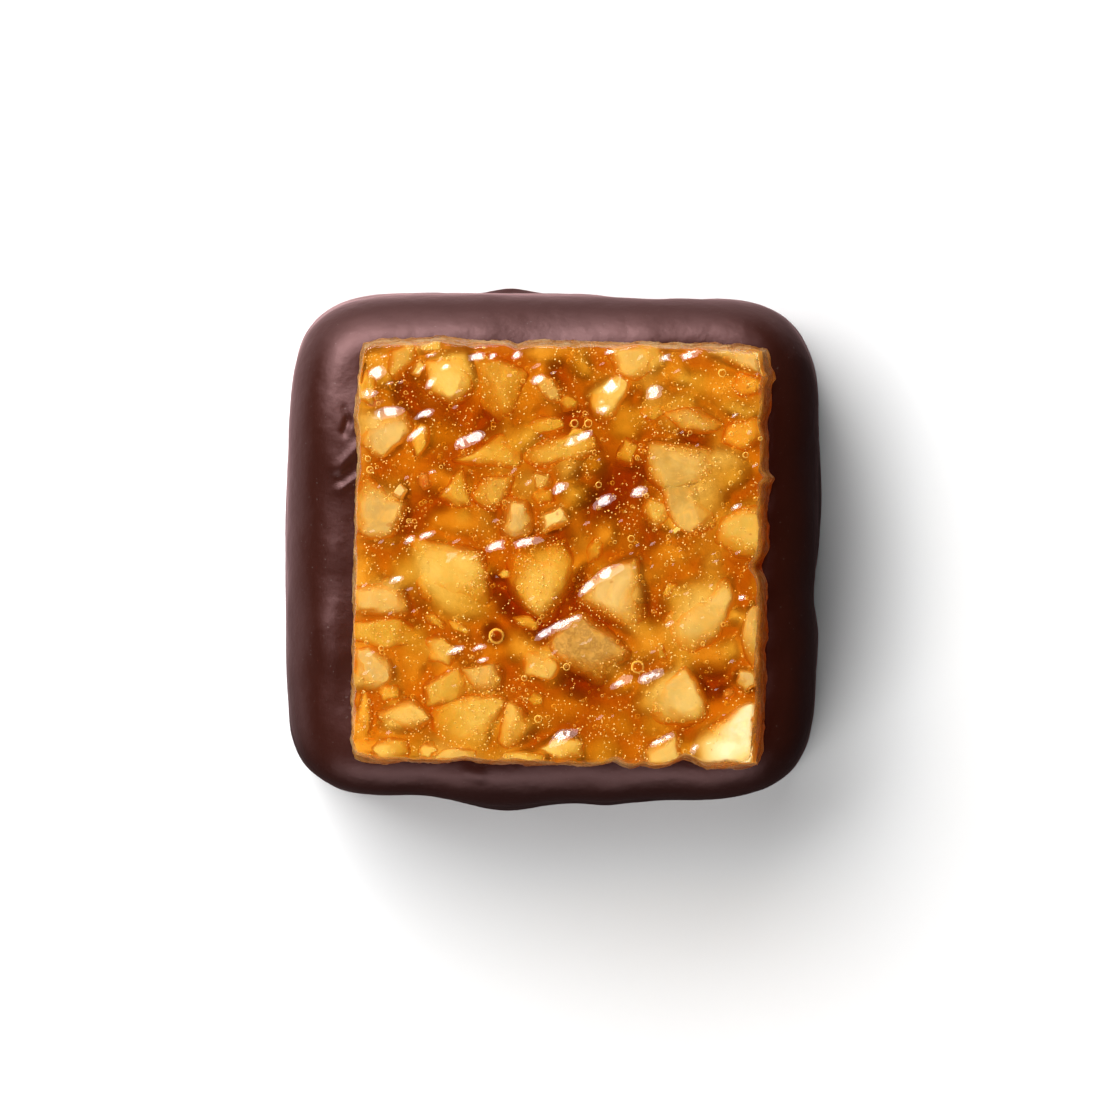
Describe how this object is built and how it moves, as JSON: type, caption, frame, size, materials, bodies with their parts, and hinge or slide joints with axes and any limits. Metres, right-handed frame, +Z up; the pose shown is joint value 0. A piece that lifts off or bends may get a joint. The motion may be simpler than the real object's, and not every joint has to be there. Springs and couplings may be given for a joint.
{
  "type": "marzipan brittle praline",
  "caption": "Square marzipan praline coated in dark chocolate, with a square slab of caramelised nut brittle lying on top.",
  "frame": {"origin": "middle of the flat underside that the praline rests on, centred on its overall box", "axes": "+Z up, through the slab of brittle; +X to the right and +Y to the back of the piece as seen from above in the picture"},
  "size_m": [0.03, 0.0292, 0.0176],
  "materials": {
    "dark_chocolate": "satin dark chocolate",
    "nut_brittle": "glossy clear caramel over chopped nuts"
  },
  "bodies": {
    "root": {"chocolate_coat": "dark_chocolate", "brittle_slab": "nut_brittle"}
  },
  "joints": []
}
